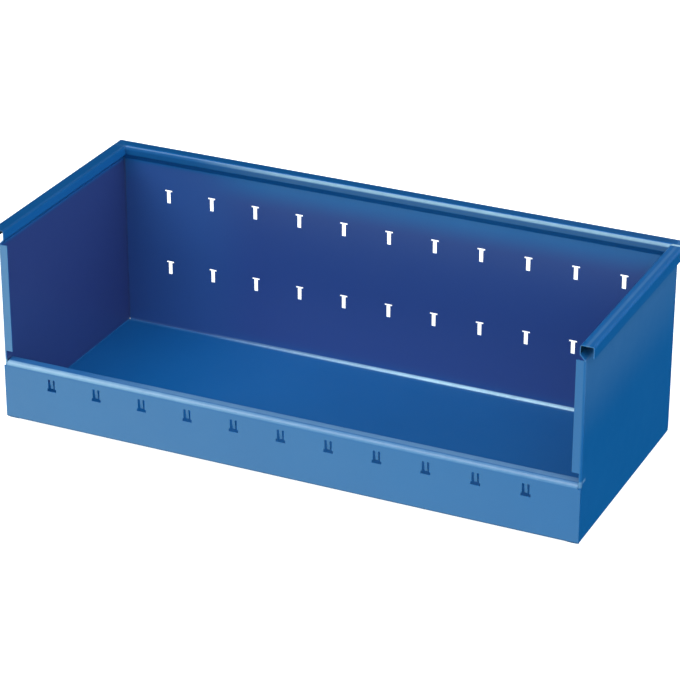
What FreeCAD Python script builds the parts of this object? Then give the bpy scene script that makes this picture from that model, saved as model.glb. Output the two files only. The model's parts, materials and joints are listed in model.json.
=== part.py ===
import FreeCAD, Part
import math
import os

# A long open-fronted storage bin of folded steel sheet, for small parts behind divider plates.
# X runs along the width, Y from the front lip to the back wall, Z up from the resting face.
# The origin is under the middle of the whole bin. All sizes are in millimetres.

# Overall sizes
body_width = 606.0
body_depth = 252.0
height = 203.0

# Sheet and folds
sheet = 1.0
bend_radius = 1.5
flange_width = 12.0
front_flange_width = 9.5
seam_gap = 0.3

# Rim: the wall steps inward, rises, runs outward over the top and turns down
rim_inward = 6.5
rim_outward = 7.5
rim_leg = 9.5
rim_step_rise = 6.0
rim_skirt = 12.0
rim_weld_width = 1.2

# Front lip and its folded top edge
lip_height = 63.0
hem_bend_radius = 4.0
hem_depth = 14.0
hem_leg = 7.0
hem_end_gap = 3.0
strip_gap_above_hem = 11.0
strip_gap_below_hem = 1.0

# Slots for divider plates in the back wall
compartments = 12
divider_pitch = 50.0
slot_row_heights = (71.3, 151.8)
slot_height = 14.8
slot_bar_width = 8.4
slot_bar_height = 1.8
slot_stem_width = 4.4

# Tongues lanced inward from the front lip, one in line with each slot
tongue_window_width = 7.6
tongue_window_height = 13.2
tongue_window_middle = 45.8
tongue_side_slit = 2.3
tongue_foot_slit = 3.2
tongue_foot_slit_width = 10.0
tongue_push = 1.5

# Resistance spot welds
nugget_radius = 2.5
nugget_thickness = 1.0
electrode_mark_radius = 3.0
electrode_mark_depth = 0.12
floor_weld_count = 5
back_weld_count = 4
lip_weld_count = 2
weld_row_end_margin = 22.0
lip_weld_end_margin = 16.0

# Places worked out from the sizes
outer_bend = bend_radius + sheet
front = -(body_depth + rim_outward) / 2
back = front + body_depth
end_face = body_width / 2
wall_front = front + sheet
back_wall = back - sheet
inner_half_width = end_face - outer_bend - seam_gap
hem_end = end_face - hem_end_gap
hem_foot = lip_height - hem_bend_radius - sheet
rim_leg_foot = height - rim_leg
rim_step_foot = rim_leg_foot - rim_step_rise
flange_middle = end_face - flange_width / 2
front_flange_middle = end_face - (front_flange_width + outer_bend) / 2
weld_slant = rim_weld_width / math.sqrt(2)
overcut = 1.0

Vector = FreeCAD.Vector


def across_x(x):
    """Draws in the YZ plane at x."""
    return lambda y, z: Vector(x, y, z)


def across_y(y):
    """Draws in the XZ plane at y."""
    return lambda x, z: Vector(x, y, z)


def across_z(z):
    """Draws in the XY plane at z."""
    return lambda x, y: Vector(x, y, z)


def direction(start, end):
    """Unit vector from one drawn point to the next."""
    length = math.dist(start, end)
    return ((end[0] - start[0]) / length, (end[1] - start[1]) / length)


def turn_angle(before, corner, after):
    """Angle turned at a corner, positive to the left."""
    (ax, ay), (bx, by) = direction(before, corner), direction(corner, after)
    return math.atan2(ax * by - ay * bx, ax * bx + ay * by)


def shifted(point, angle, reach):
    """A drawn point moved by a reach along an angle."""
    return (point[0] + reach * math.cos(angle), point[1] + reach * math.sin(angle))


def left_side(corners):
    """The run of corners moved to its left by the sheet's thickness."""
    last = len(corners) - 1
    moved = []
    for i, corner in enumerate(corners):
        ahead = direction(corners[max(i - 1, 0)], corners[max(i, 1)])
        half_turn = turn_angle(*corners[i - 1:i + 2]) / 2 if 0 < i < last else 0.0
        normal = math.atan2(ahead[1], ahead[0]) + half_turn + math.pi / 2
        moved.append(shifted(corner, normal, sheet / math.cos(half_turn)))
    return moved


def rounded_run(corners, radii, place):
    """Edges along the corners, with an arc of the given radius at each fold."""
    edges = []
    start = corners[0]
    for i, radius in enumerate(radii, 1):
        before, corner, after = corners[i - 1:i + 2]
        angle = turn_angle(before, corner, after)
        heading = math.atan2(corner[1] - before[1], corner[0] - before[0])
        setback = radius * math.tan(abs(angle) / 2)
        arc_start = shifted(corner, heading, -setback)
        arc_end = shifted(corner, heading + angle, setback)
        inward = heading + angle / 2 + math.copysign(math.pi / 2, angle)
        arc_middle = shifted(corner, inward, radius / math.cos(angle / 2) - radius)
        edges.append(Part.makeLine(place(*start), place(*arc_start)))
        arc = Part.Arc(place(*arc_start), place(*arc_middle), place(*arc_end))
        edges.append(arc.toShape())
        start = arc_end
    edges.append(Part.makeLine(place(*start), place(*corners[-1])))
    return edges


def folded_sheet(corners, place, sweep, wide_folds=None):
    """A sheet folded along the corners, which lie on its right-hand face, swept to its length.

    Every fold has the usual inside radius, apart from those that wide_folds gives by number.
    """
    inner = [(wide_folds or {}).get(i, bend_radius) for i in range(1, len(corners) - 1)]
    turns = [turn_angle(*corners[i - 1:i + 2]) for i in range(1, len(corners) - 1)]
    near_radii = [radius + (sheet if angle > 0 else 0.0) for radius, angle in zip(inner, turns)]
    far_radii = [radius + (0.0 if angle > 0 else sheet) for radius, angle in zip(inner, turns)]
    far_corners = left_side(corners)[::-1]
    outline = rounded_run(corners, near_radii, place)
    outline.append(Part.makeLine(place(*corners[-1]), place(*far_corners[0])))
    outline += rounded_run(far_corners, far_radii[::-1], place)
    outline.append(Part.makeLine(place(*far_corners[-1]), place(*corners[0])))
    return Part.Face(Part.Wire(outline)).extrude(sweep)


def block(low, high):
    """A box between two corners."""
    return Part.makeBox(high[0] - low[0], high[1] - low[1], high[2] - low[2], Vector(*low))


def mirrored(shape):
    """The left-hand copy of a right-hand piece."""
    return shape.mirror(Vector(0, 0, 0), Vector(1, 0, 0))


def both_sides(shape):
    """A right-hand tool together with its left-hand copy."""
    return [shape, mirrored(shape)]


def wall_and_rim(wall_face, rim_face):
    """Corners of a wall from its step up, on its outer face, and then inside the rim's channel."""
    leg_inside = rim_face - rim_inward + sheet
    skirt_inside = rim_face + rim_outward - sheet
    return [
        (wall_face, rim_step_foot),
        (leg_inside, rim_leg_foot),
        (leg_inside, height - sheet),
        (skirt_inside, height - sheet),
        (skirt_inside, height - rim_skirt),
    ]


def beyond_mitre(offset, foot):
    """Everything on the end panel's side of the right rear corner's diagonal, moved by an offset in X."""
    reach = body_width
    corners = [
        Vector(end_face + offset - reach, back - reach, foot),
        Vector(end_face + offset + reach, back + reach, foot),
        Vector(end_face + offset + reach, back - reach, foot),
    ]
    return Part.Face(Part.makePolygon(corners + corners[:1])).extrude(Vector(0, 0, height))


def divider_places():
    """X of each place where a divider plate can stand."""
    middle = compartments / 2
    return [(i - middle) * divider_pitch for i in range(1, compartments)]


def evenly(first, last, count):
    """Places spaced evenly from the first to the last."""
    return [first + (last - first) * i / (count - 1) for i in range(count)]


def nugget(centre, axis):
    """The disc of melted steel that joins two sheets at a spot weld."""
    start = Vector(*centre) - axis * (nugget_thickness / 2)
    return Part.makeCylinder(nugget_radius, nugget_thickness, start, axis)


def electrode_mark(centre, axis):
    """The shallow round dent that an electrode leaves on the flange, one sheet from the joint."""
    start = Vector(*centre) + axis * (sheet - electrode_mark_depth)
    return Part.makeCylinder(electrode_mark_radius, sheet, start, axis)


# Right-hand weld rows: each is a list of centres and the way from the joint into the flange
def floor_weld_row():
    places = evenly(wall_front + weld_row_end_margin, back_wall - weld_row_end_margin, floor_weld_count)
    return [(flange_middle, y, sheet) for y in places], Vector(0, 0, -1)


def back_weld_row():
    places = evenly(weld_row_end_margin, rim_step_foot - weld_row_end_margin, back_weld_count)
    return [(flange_middle, back_wall, z) for z in places], Vector(0, 1, 0)


def lip_weld_row():
    places = evenly(lip_weld_end_margin, lip_height - lip_weld_end_margin, lip_weld_count)
    return [(front_flange_middle, wall_front, z) for z in places], Vector(0, 1, 0)


weld_rows = {
    "floor": floor_weld_row(),
    "back": back_weld_row(),
    "lip": lip_weld_row(),
}


def all_nuggets():
    """Every right-hand nugget, as tools that make room for the welds."""
    return [nugget(centre, axis) for centres, axis in weld_rows.values() for centre in centres]


def t_slot(x, middle_height):
    """The T-shaped opening that takes a divider's hook, cut through the back wall."""
    top = middle_height + slot_height / 2
    near, far = back_wall - sheet - overcut, back_wall + overcut
    bar = block(
        (x - slot_bar_width / 2, near, top - slot_bar_height),
        (x + slot_bar_width / 2, far, top),
    )
    stem = block(
        (x - slot_stem_width / 2, near, top - slot_height),
        (x + slot_stem_width / 2, far, top),
    )
    return bar.fuse(stem)


def tongue_window(x):
    """The three-sided cut round a tongue in the lip, widened along its foot."""
    half, foot_half = tongue_window_width / 2, tongue_foot_slit_width / 2
    foot = tongue_window_middle - tongue_window_height / 2
    near, far = front - overcut, wall_front + overcut
    window = block((x - half, near, foot), (x + half, far, foot + tongue_window_height))
    return window.fuse(block((x - foot_half, near, foot), (x + foot_half, far, foot + tongue_foot_slit)))


def tongue(x):
    """The tongue itself, hinged at the window's top and pushed inward at its foot."""
    half = tongue_window_width / 2 - tongue_side_slit
    top = tongue_window_middle + tongue_window_height / 2
    foot = top - tongue_window_height + tongue_foot_slit
    place = across_x(x - half)
    corners = [
        place(front, top),
        place(wall_front, top),
        place(wall_front + tongue_push, foot),
        place(front + tongue_push, foot),
    ]
    return Part.Face(Part.makePolygon(corners + corners[:1])).extrude(Vector(2 * half, 0, 0))


def rear_rim_blank():
    """Floor, back wall, rim, lip and hem as one long fold, before its ends are trimmed."""
    corners = [
        (front + hem_depth, lip_height - hem_leg),
        (front + hem_depth, lip_height),
        (front, lip_height),
        (front, sheet),
        (back_wall, sheet),
    ]
    corners += wall_and_rim(back_wall, back)
    reach = end_face + rim_outward
    hem_fold = {2: hem_bend_radius}
    return folded_sheet(corners, across_x(-reach), Vector(2 * reach, 0, 0), hem_fold)


def end_panel_blank():
    """Bottom flange, end wall and rim of the right-hand panel, before its ends are trimmed."""
    corners = [(end_face - flange_width, 0.0), (end_face, 0.0)]
    corners += wall_and_rim(end_face, end_face)
    sweep = Vector(0, back + rim_outward - wall_front, 0)
    return folded_sheet(corners, across_y(wall_front), sweep)


def make_tray():
    """The tray: front lip, floor and back wall, folded from one sheet."""
    past_end = end_face + rim_outward + overcut
    trims = [
        block((inner_half_width, front + outer_bend, 0), (past_end, back, rim_step_foot)),
        block((end_face, front - overcut, 0), (past_end, back, lip_height + overcut)),
        block(
            (hem_end, front - overcut, hem_foot),
            (past_end, front + hem_depth + overcut, lip_height + overcut),
        ),
        block(
            (hem_end, wall_front + overcut, lip_height - hem_leg - overcut),
            (past_end, front + hem_depth + overcut, lip_height + overcut),
        ),
        beyond_mitre(-weld_slant, rim_step_foot),
    ]
    tray = rear_rim_blank()
    for trim in trims:
        tray = tray.cut(both_sides(trim))
    slots = [t_slot(x, z) for z in slot_row_heights for x in divider_places()]
    tray = tray.cut(slots + [tongue_window(x) for x in divider_places()])
    tray = tray.fuse([tongue(x) for x in divider_places()])
    for tool in all_nuggets():
        tray = tray.cut(both_sides(tool))
    return tray.removeSplitter()


def make_right_end_panel():
    """The right end: a wall with its rim, and flanges turned in at the bottom, front and back."""
    blank = end_panel_blank()
    past_flange = end_face - flange_width - overcut
    lower_room = block(
        (past_flange, front + outer_bend + seam_gap, -overcut),
        (end_face, back, rim_step_foot),
    )
    rear_corner = [
        edge for edge in lower_room.Edges
        if all(abs(v.X - end_face) + abs(v.Y - back) < seam_gap for v in edge.Vertexes)
    ]
    upper_room = block(
        (0, wall_front, rim_step_foot),
        (end_face + rim_outward, back + rim_outward, height),
    ).common(beyond_mitre(weld_slant, 0))
    lower = blank.common(lower_room.makeFillet(outer_bend, rear_corner))

    front_foot = sheet + outer_bend
    front_edge, back_edge = end_face - front_flange_width, end_face - flange_width
    front_strip = folded_sheet(
        [(front_edge, wall_front), (end_face, wall_front), (end_face, wall_front + 2 * outer_bend)],
        across_z(front_foot),
        Vector(0, 0, rim_step_foot - front_foot),
    )
    back_strip = folded_sheet(
        [(end_face, back - 2 * outer_bend), (end_face, back), (back_edge, back)],
        across_z(outer_bend),
        Vector(0, 0, rim_step_foot - outer_bend),
    )
    hem_notch = block(
        (past_flange, front, hem_foot - strip_gap_below_hem),
        (end_face - outer_bend, wall_front + outer_bend, lip_height + strip_gap_above_hem),
    )
    panel = lower.fuse([blank.common(upper_room), front_strip.cut(hem_notch), back_strip])
    marks = [electrode_mark(c, axis) for centres, axis in weld_rows.values() for c in centres]
    return panel.cut(all_nuggets() + marks).removeSplitter()


def make_right_corner_weld():
    """The weld that closes the rim's diagonal joint, dressed flush with both rims."""
    above_step = block(
        (0, 0, rim_step_foot),
        (end_face + rim_outward, back + rim_outward, height),
    )
    end_side = end_panel_blank().common(beyond_mitre(0, 0)).cut(beyond_mitre(weld_slant, 0))
    tray_side = rear_rim_blank().common(beyond_mitre(-weld_slant, 0)).cut(beyond_mitre(0, 0))
    return end_side.fuse(tray_side).common(above_step).removeSplitter()


def weld_row(name):
    """One row of spot welds on the right-hand side."""
    centres, axis = weld_rows[name]
    return Part.Compound([nugget(centre, axis) for centre in centres])


def save(node, shape):
    """Writes one piece and prints what it holds."""
    shape.exportStep("parts/" + node + ".step")
    print(node, len(shape.Solids), "solid(s)", round(shape.Volume, 1), "mm3", shape.isValid())


os.makedirs("parts", exist_ok=True)
save("tray_sheet", make_tray())
right_pieces = {
    "end_panel": make_right_end_panel(),
    "rim_corner_weld": make_right_corner_weld(),
}
right_pieces.update({row + "_spot_welds": weld_row(row) for row in weld_rows})
for piece, shape in right_pieces.items():
    save("right_" + piece, shape)
    save("left_" + piece, mirrored(shape))
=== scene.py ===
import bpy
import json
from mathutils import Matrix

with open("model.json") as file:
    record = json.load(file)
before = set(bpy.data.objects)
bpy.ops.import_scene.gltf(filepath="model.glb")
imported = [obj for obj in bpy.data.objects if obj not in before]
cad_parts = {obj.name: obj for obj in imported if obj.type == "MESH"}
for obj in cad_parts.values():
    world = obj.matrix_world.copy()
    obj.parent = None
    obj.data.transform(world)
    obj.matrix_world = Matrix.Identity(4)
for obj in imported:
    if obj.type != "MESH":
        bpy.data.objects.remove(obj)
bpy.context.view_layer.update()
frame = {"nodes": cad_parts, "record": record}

import json
import math

import bpy
from mathutils import Matrix, Vector

# Camera: its angles in degrees, its place in metres, and its focal length in the picture's pixels
AZIMUTH = 24.920
ELEVATION = 25.716
ROLL = 0.087
CAMERA_PLACE = (1.07674, -2.31329, 1.31963)
IMAGE_SIZE = 680
FOCAL_PIXELS = 2893.4
SENSOR_WIDTH = 36.0
NEAREST_SEEN = 0.05
FARTHEST_SEEN = 60.0

# Floor: half its width and its distance below the bin, in metres, and its finish
FLOOR_REACH = 9.0
FLOOR_DROP = 0.0002
FLOOR_COLOR = (0.90, 0.90, 0.905)
FLOOR_GLOW = 0.8
FLOOR_ROUGHNESS = 0.85
FLOOR_SPECULAR = 0.2

# Soft lights of the studio dome: where each lies, how far it spreads in degrees, and its colour
ROOM_LIGHTS = {
    "key": ((-0.35, -0.60, 0.72), 30, (4.40, 4.45, 4.30)),
    "key_right": ((0.40, -0.60, 0.70), 34, (2.30, 2.35, 2.30)),
    "front": ((0.10, -0.95, 0.30), 38, (0.05, 0.15, 0.10)),
    "right": ((0.97, 0.00, 0.25), 38, (2.60, 2.70, 2.70)),
    "right_high": ((0.65, -0.15, 0.75), 38, (0.30, 0.45, 0.50)),
    "back_high": ((0.00, 0.62, 0.78), 30, (0.20, 0.20, 0.20)),
    "behind": ((0.00, 1.00, 0.00), 24, (2.20, 2.20, 2.20)),
    "left": ((-0.97, 0.05, 0.10), 38, (2.20, 2.20, 2.20)),
}

# The same for the pale table's glow, and the heights over which it fades in below the horizon
TABLE_LIGHTS = {
    "table_front": ((-0.10, -0.90, -0.43), 60, (0.63, 0.85, 0.64)),
    "table_front_left": ((-0.65, -0.60, -0.45), 55, (0.85, 0.98, 0.81)),
    "table_front_right": ((0.60, -0.68, -0.42), 55, (0.05, 0.10, 0.09)),
    "table_back_right": ((0.45, 0.80, -0.40), 40, (0.00, 0.08, 0.20)),
    "table_back_left": ((-0.75, 0.60, -0.30), 35, (0.90, 0.90, 0.90)),
}
HORIZON = (-0.02, -0.12)

# Paint, in linear colour
PAINT_DEEP = (0.0050, 0.118, 0.385)
PAINT_PALE = (0.0070, 0.132, 0.415)
PAINT_EDGE = (0.030, 0.190, 0.480)
# Painted shade for the inner walls, a lighter painted shade for the back wall's left corner, and a deeper
# painted shade for the left wall
PAINT_INSIDE_SHADE = (0.0280, 0.070, 0.290)
PAINT_CORNER_SHADE = (0.0310, 0.093, 0.335)
PAINT_LEFT_WALL_SHADE = (0.0330, 0.059, 0.230)
# Painted highlight and sheen
PAINT_HIGHLIGHT = (0.500, 0.760, 0.950)
# Painted shade, for the rims' hollows, rim tops, the rear rim's foot and the floor's right part
PAINT_SHADE = (0.0010, 0.006, 0.025)

# Paint's patterns: how fine each is, in waves per metre, and what it does
CLOUD_FINENESS = 9.0
CLOUD_SHARE = 0.7
SPECK_FINENESS = 900.0
WEAR_AND_HIGHLIGHT_FINENESS = 60.0
# How unevenly the painted highlights come through, patch to patch
HIGHLIGHT_PATCHES = (0.85, 1.0)
EDGE_RADIUS = 0.0012
EDGE_SHARE = 0.55
EDGE_ROUGHENING = 0.12
GLOSS_FINENESS = 35.0
GLOSS_ROUGHNESS = (0.28, 0.34)
PEEL_FINENESS = 420.0
PEEL_DEPTH = 0.00004
PAINT_IOR = 1.5

# Bare weld steel
STEEL_DARK = (0.32, 0.31, 0.30)
STEEL_PALE = (0.52, 0.52, 0.53)
STEEL_ROUGHNESS = (0.35, 0.55)
GRAIN_FINENESS = 1500.0
GRAIN_DEPTH = 0.00005

BUMP_STRENGTH = 0.5


def evenly(strength):
    """The same strength all along X."""
    return (0.0, strength), (0.1, strength)


# The bin's inner walls, given darker and more violet tones as painted shade, with a lighter painted shade
# in the back wall's left part: each with its tone, a box in metres and the softness of its sides
WALL_SHADE_TONES = (
    (PAINT_INSIDE_SHADE, (-0.3021, 0.1150, 0.0015), (0.3021, 0.1207, 0.1720), (0.0001, 0.0002, 0.0150)),
    (PAINT_INSIDE_SHADE, (0.2950, -0.1270, 0.0015), (0.3021, 0.1220, 0.1850), (0.0001, 0.0002, 0.0030)),
    (PAINT_CORNER_SHADE, (-0.3021, 0.1150, 0.0015), (-0.1800, 0.1207, 0.1850), (0.0400, 0.0002, 0.0030)),
    (PAINT_LEFT_WALL_SHADE, (-0.3021, -0.1270, 0.0015), (-0.2999, 0.1220, 0.1850), (0.0001, 0.0002, 0.0030)),
)

# Where shade is painted into the colour: a box, the softness of its sides along X, Y and Z, and how
# strongly it is shaded at two places along X
PAINTED_SHADE_PLACES = (
    # the rims' hollows, painted dark as shade
    ((-0.3096, -0.131, 0.194), (-0.29735, 0.129, 0.2021), (0.00005, 0.0002, 0.00005), *evenly(1.0)),
    ((-0.3096, -0.131, 0.188), (-0.3032, 0.129, 0.194), (0.00005, 0.0002, 0.00005), *evenly(1.0)),
    ((0.29735, -0.131, 0.194), (0.3096, 0.129, 0.2021), (0.00005, 0.0002, 0.00005), *evenly(1.0)),
    ((0.3032, -0.131, 0.188), (0.3096, 0.129, 0.194), (0.00005, 0.0002, 0.00005), *evenly(1.0)),
    # painted shade on the top of the left and rear rims, and on the rear rim's foot
    ((-0.312, -0.132, 0.2016), (-0.295, 0.132, 0.204), (0.001, 0.001, 0.001), *evenly(0.28)),
    ((-0.300, 0.1172, 0.2016), (0.300, 0.132, 0.204), (0.006, 0.001, 0.001), *evenly(0.28)),
    ((-0.300, 0.114, 0.192), (0.300, 0.1168, 0.1985), (0.006, 0.001, 0.001), *evenly(0.25)),
    # painted shade on the right part of the floor
    ((-0.300, -0.130, 0.0), (0.303, 0.117, 0.003), (0.001, 0.002, 0.0005), (-0.20, 0.0), (0.05, 0.10)),
)

# Where highlights and sheen are painted pale into the colour, in the same terms
PAINTED_HIGHLIGHT_PLACES = (
    # painted highlight on the hem's roll and painted sheen on its level top
    ((-0.31, -0.132, 0.0588), (0.31, -0.1258, 0.065), (0.001, 0.001, 0.001), (-0.30, 0.50), (0.05, 0.23)),
    ((-0.31, -0.125, 0.062), (0.31, -0.1175, 0.065), (0.001, 0.001, 0.0003), (-0.22, 0.05), (-0.12, 0.26)),
    # painted highlight on the inner bend over the rear rim
    ((-0.31, 0.1125, 0.199), (0.31, 0.116, 0.204), (0.001, 0.001, 0.001), (-0.22, 0.05), (-0.10, 1.0)),
    # painted highlight along the corner between floor and back wall
    ((-0.31, 0.1176, 0.0), (0.31, 0.121, 0.0046), (0.001, 0.0006, 0.0006), (-0.21, 0.05), (0.05, 1.0)),
    # painted sheen on the upper part of the right end's outer face
    ((0.302, -0.140, 0.135), (0.305, 0.140, 0.300), (0.0002, 0.001, 0.040), *evenly(0.08)),
    # painted sheen on the lip's face and the left end's front flange
    ((-0.31, -0.132, -0.010), (0.31, -0.129, 0.058), (0.001, 0.0002, 0.002), (-0.30, 0.063), (0.30, 0.0)),
    ((-0.31, -0.132, 0.065), (-0.280, -0.1283, 0.195), (0.001, 0.0002, 0.002), *evenly(0.12)),
)

scene = bpy.context.scene
scene.view_settings.view_transform = "Standard"
scene.view_settings.look = "None"


def make_camera():
    """The photograph's camera, with no lens shift."""
    azimuth, elevation, roll = (math.radians(a) for a in (AZIMUTH, ELEVATION, ROLL))
    back = Vector((
        math.sin(azimuth) * math.cos(elevation),
        -math.cos(azimuth) * math.cos(elevation),
        math.sin(elevation),
    ))
    level_right = Vector((0, 0, 1)).cross(back).normalized()
    level_up = back.cross(level_right)
    right = level_right * math.cos(roll) + level_up * math.sin(roll)
    up = level_up * math.cos(roll) - level_right * math.sin(roll)
    camera = bpy.data.objects.new("camera", bpy.data.cameras.new("camera"))
    scene.collection.objects.link(camera)
    turn = Matrix((right, up, back)).transposed().to_4x4()
    camera.matrix_world = Matrix.Translation(CAMERA_PLACE) @ turn
    camera.data.sensor_width = SENSOR_WIDTH
    camera.data.lens = FOCAL_PIXELS * SENSOR_WIDTH / IMAGE_SIZE
    camera.data.clip_start = NEAREST_SEEN
    camera.data.clip_end = FARTHEST_SEEN
    scene.camera = camera


class Nodes:
    """A node tree, with short ways to add nodes to it."""

    def __init__(self, tree):
        self.tree = tree
        tree.nodes.clear()

    def add(self, kind, **settings):
        node = self.tree.nodes.new(kind)
        for key, value in settings.items():
            setattr(node, key, value)
        return node

    def join(self, source, target):
        self.tree.links.new(source, target)

    def place(self):
        """The point on the object, in metres."""
        return self.add("ShaderNodeTexCoord").outputs["Object"]

    def split(self, vector):
        """A vector's X, Y and Z."""
        node = self.add("ShaderNodeSeparateXYZ")
        self.join(vector, node.inputs["Vector"])
        return node.outputs

    def noise(self, fineness, detail, roughness=0.5):
        node = self.add("ShaderNodeTexNoise")
        node.inputs["Scale"].default_value = fineness
        node.inputs["Detail"].default_value = detail
        node.inputs["Roughness"].default_value = roughness
        self.join(self.place(), node.inputs["Vector"])
        return node.outputs["Fac"]

    def spread(self, value, low, high, out_low=0.0, out_high=1.0, steps="LINEAR"):
        """The value moved from one range to another, and kept within it."""
        node = self.add("ShaderNodeMapRange", interpolation_type=steps)
        self.join(value, node.inputs["Value"])
        node.inputs["From Min"].default_value = low
        node.inputs["From Max"].default_value = high
        node.inputs["To Min"].default_value = out_low
        node.inputs["To Max"].default_value = out_high
        return node.outputs["Result"]

    def maths(self, operation, first, second):
        node = self.add("ShaderNodeMath", operation=operation)
        for socket, value in zip(node.inputs, (first, second)):
            if isinstance(value, (int, float)):
                socket.default_value = value
            else:
                self.join(value, socket)
        return node.outputs["Value"]

    def blend(self, factor, first, second):
        """The first colour, with the factor's share of the second over it."""
        node = self.add("ShaderNodeMix", data_type="RGBA")
        self.join(factor, node.inputs[0])
        for socket, value in ((node.inputs[6], first), (node.inputs[7], second)):
            if isinstance(value, tuple):
                socket.default_value = (*value, 1.0)
            else:
                self.join(value, socket)
        return node.outputs[2]

    def bump(self, height, distance):
        node = self.add("ShaderNodeBump")
        node.inputs["Distance"].default_value = distance
        node.inputs["Strength"].default_value = BUMP_STRENGTH
        self.join(height, node.inputs["Height"])
        return node.outputs["Normal"]

    def vectors(self, operation, first, second):
        node = self.add("ShaderNodeVectorMath", operation=operation)
        for socket, value in zip(node.inputs, (first, second)):
            if isinstance(value, (tuple, Vector)):
                socket.default_value = value
            else:
                self.join(value, socket)
        return node

    def within(self, low, high, soft):
        """One at places within a box and zero elsewhere. Each side needs some softness."""
        place = self.split(self.place())
        mask = 1.0
        for axis, least, most, half in zip("XYZ", low, high, soft):
            above = self.spread(place[axis], least - half, least + half, steps="SMOOTHSTEP")
            below = self.spread(place[axis], most + half, most - half, steps="SMOOTHSTEP")
            mask = self.maths("MULTIPLY", self.maths("MULTIPLY", above, below), mask)
        return mask

    def share(self, places):
        """How strongly a second paint covers the first, the strongest of the places that overlap."""
        along = self.split(self.place())["X"]
        share = 0.0
        for low, high, soft, (start, weak), (end, strong) in places:
            strength = self.spread(along, start, end, weak, strong)
            here = self.maths("MULTIPLY", self.within(low, high, soft), strength)
            share = self.maths("MAXIMUM", here, share)
        return share

    def true_normal(self):
        return self.add("ShaderNodeNewGeometry").outputs["True Normal"]

    def upright(self):
        """One on upright faces and zero on level ones."""
        tilt = self.maths("ABSOLUTE", self.split(self.true_normal())["Z"], 0.0)
        return self.spread(tilt, 0.75, 0.35)

    def edge(self, radius):
        """One at sharp edges and zero on flat faces."""
        bevel = self.add("ShaderNodeBevel", samples=6)
        bevel.inputs["Radius"].default_value = radius
        dot = self.vectors("DOT_PRODUCT", bevel.outputs["Normal"], self.true_normal())
        return self.spread(dot.outputs["Value"], 0.99, 0.80)


class Finish(Nodes):
    """A material: one glossy shader and the nodes that feed it."""

    def __init__(self, name):
        self.material = bpy.data.materials.new(name)
        self.material.use_nodes = True
        super().__init__(self.material.node_tree)
        output = self.add("ShaderNodeOutputMaterial")
        self.shader = self.add("ShaderNodeBsdfPrincipled")
        self.join(self.shader.outputs["BSDF"], output.inputs["Surface"])


def paint_material():
    """Blue baked enamel with a fine orange peel, darker and more violet on the inner walls as painted
    shade, with painted shade and painted highlights and sheen by place on the bin, and lightly rubbed on
    its edges."""
    n = Finish("blue_enamel")
    cloud = n.spread(n.noise(CLOUD_FINENESS, 3.0), 0.30, 0.70)
    speck = n.spread(n.noise(SPECK_FINENESS, 2.0), 0.35, 0.75)
    clouds = n.maths("MULTIPLY", cloud, CLOUD_SHARE)
    specks = n.maths("MULTIPLY", speck, 1.0 - CLOUD_SHARE)
    color = n.blend(n.maths("ADD", clouds, specks), PAINT_DEEP, PAINT_PALE)

    # Painted shade on the inner walls, lighter towards the back wall's left corner
    for paint, *box in WALL_SHADE_TONES:
        color = n.blend(n.maths("MULTIPLY", n.upright(), n.within(*box)), color, paint)
    # Painted shade: the rims' hollows, the rim tops, the rear rim's foot and the floor's right part
    color = n.blend(n.share(PAINTED_SHADE_PLACES), color, PAINT_SHADE)
    # Painted highlights and sheen, broken up by the same noise that places the real edge wear
    wear_and_highlight_noise = n.noise(WEAR_AND_HIGHLIGHT_FINENESS, 4.0, 0.65)
    patchy = n.spread(wear_and_highlight_noise, 0.35, 0.65, *HIGHLIGHT_PATCHES)
    color = n.blend(n.maths("MULTIPLY", n.share(PAINTED_HIGHLIGHT_PLACES), patchy), color, PAINT_HIGHLIGHT)
    worn_edge = n.maths("MULTIPLY", n.edge(EDGE_RADIUS), n.spread(wear_and_highlight_noise, 0.40, 0.62))
    color = n.blend(n.maths("MULTIPLY", worn_edge, EDGE_SHARE), color, PAINT_EDGE)
    n.join(color, n.shader.inputs["Base Color"])

    gloss = n.spread(n.noise(GLOSS_FINENESS, 5.0, 0.6), 0.30, 0.70, *GLOSS_ROUGHNESS)
    rougher = n.maths("MULTIPLY", worn_edge, EDGE_ROUGHENING)
    n.join(n.maths("ADD", gloss, rougher), n.shader.inputs["Roughness"])
    n.join(n.bump(n.noise(PEEL_FINENESS, 2.0, 0.4), PEEL_DEPTH), n.shader.inputs["Normal"])
    n.shader.inputs["IOR"].default_value = PAINT_IOR
    return n.material


def weld_material():
    """Bare steel melted together at a spot weld."""
    n = Finish("weld_steel")
    grain = n.spread(n.noise(GRAIN_FINENESS, 4.0), 0.3, 0.7)
    n.join(n.blend(grain, STEEL_DARK, STEEL_PALE), n.shader.inputs["Base Color"])
    n.join(n.spread(grain, 0.0, 1.0, *STEEL_ROUGHNESS), n.shader.inputs["Roughness"])
    n.join(n.bump(grain, GRAIN_DEPTH), n.shader.inputs["Normal"])
    n.shader.inputs["Metallic"].default_value = 1.0
    return n.material


def floor_material():
    """A plain pale studio floor."""
    n = Finish("studio_floor")
    n.shader.inputs["Base Color"].default_value = (*FLOOR_COLOR, 1.0)
    n.shader.inputs["Roughness"].default_value = FLOOR_ROUGHNESS
    n.shader.inputs["Specular IOR Level"].default_value = FLOOR_SPECULAR
    n.shader.inputs["Emission Color"].default_value = (1.0, 1.0, 1.0, 1.0)
    n.shader.inputs["Emission Strength"].default_value = FLOOR_GLOW
    return n.material


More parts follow.
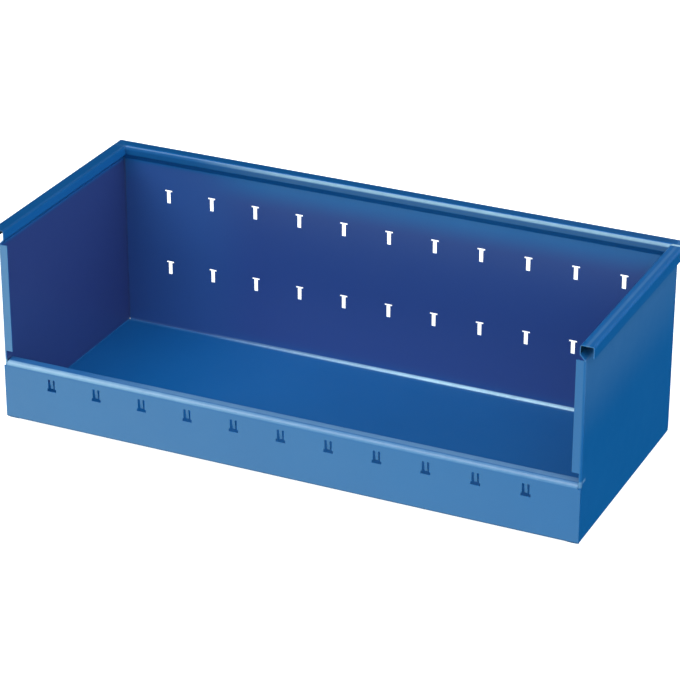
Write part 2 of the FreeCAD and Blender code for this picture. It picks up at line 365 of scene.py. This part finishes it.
def make_floor():
    """The floor, which lights nothing itself: the dome's table lights stand for its glow."""
    mesh = bpy.data.meshes.new("studio_floor")
    reach = FLOOR_REACH
    corners = [(-reach, -reach), (reach, -reach), (reach, reach), (-reach, reach)]
    mesh.from_pydata([(x, y, -FLOOR_DROP) for x, y in corners], [], [(0, 1, 2, 3)])
    mesh.materials.append(floor_material())
    floor = bpy.data.objects.new("studio_floor", mesh)
    scene.collection.objects.link(floor)
    floor.visible_diffuse = False
    floor.visible_glossy = False
    floor.visible_shadow = False


def make_dome():
    """The studio's light: a dark room with a few wide soft lights, and a pale table below."""
    world = bpy.data.worlds.new("studio_dome")
    world.use_nodes = True
    n = Nodes(world.node_tree)
    toward = n.add("ShaderNodeTexCoord").outputs["Generated"]

    def glow(lights):
        light = (0.0, 0.0, 0.0)
        for place, width, color in lights.values():
            nearness = n.vectors("DOT_PRODUCT", toward, Vector(place).normalized())
            rim = math.cos(math.radians(width))
            fade = n.spread(nearness.outputs["Value"], rim, 1.0, steps="SMOOTHSTEP")
            lobe = n.vectors("MULTIPLY", fade, color).outputs["Vector"]
            light = n.vectors("ADD", lobe, light).outputs["Vector"]
        return light

    below = n.spread(n.split(toward)["Z"], *HORIZON, steps="SMOOTHSTEP")
    table = n.vectors("MULTIPLY", glow(TABLE_LIGHTS), below).outputs["Vector"]
    background = n.add("ShaderNodeBackground")
    light = n.vectors("ADD", glow(ROOM_LIGHTS), table).outputs["Vector"]
    n.join(light, background.inputs["Color"])
    output = n.add("ShaderNodeOutputWorld")
    n.join(background.outputs["Background"], output.inputs["Surface"])
    scene.world = world


def finish_nodes():
    """Gives every piece its paint or bare weld metal."""
    finishes = {"blue_paint": paint_material(), "weld_steel": weld_material()}
    slots = {part["node"]: part["material_slot"] for part in frame["record"]["subparts"]}
    for name, piece in frame["nodes"].items():
        finish = finishes[slots[name]]
        if not piece.material_slots:
            piece.data.materials.append(finish)
        for material_slot in piece.material_slots:
            material_slot.material = finish


make_camera()
make_dome()
make_floor()
finish_nodes()
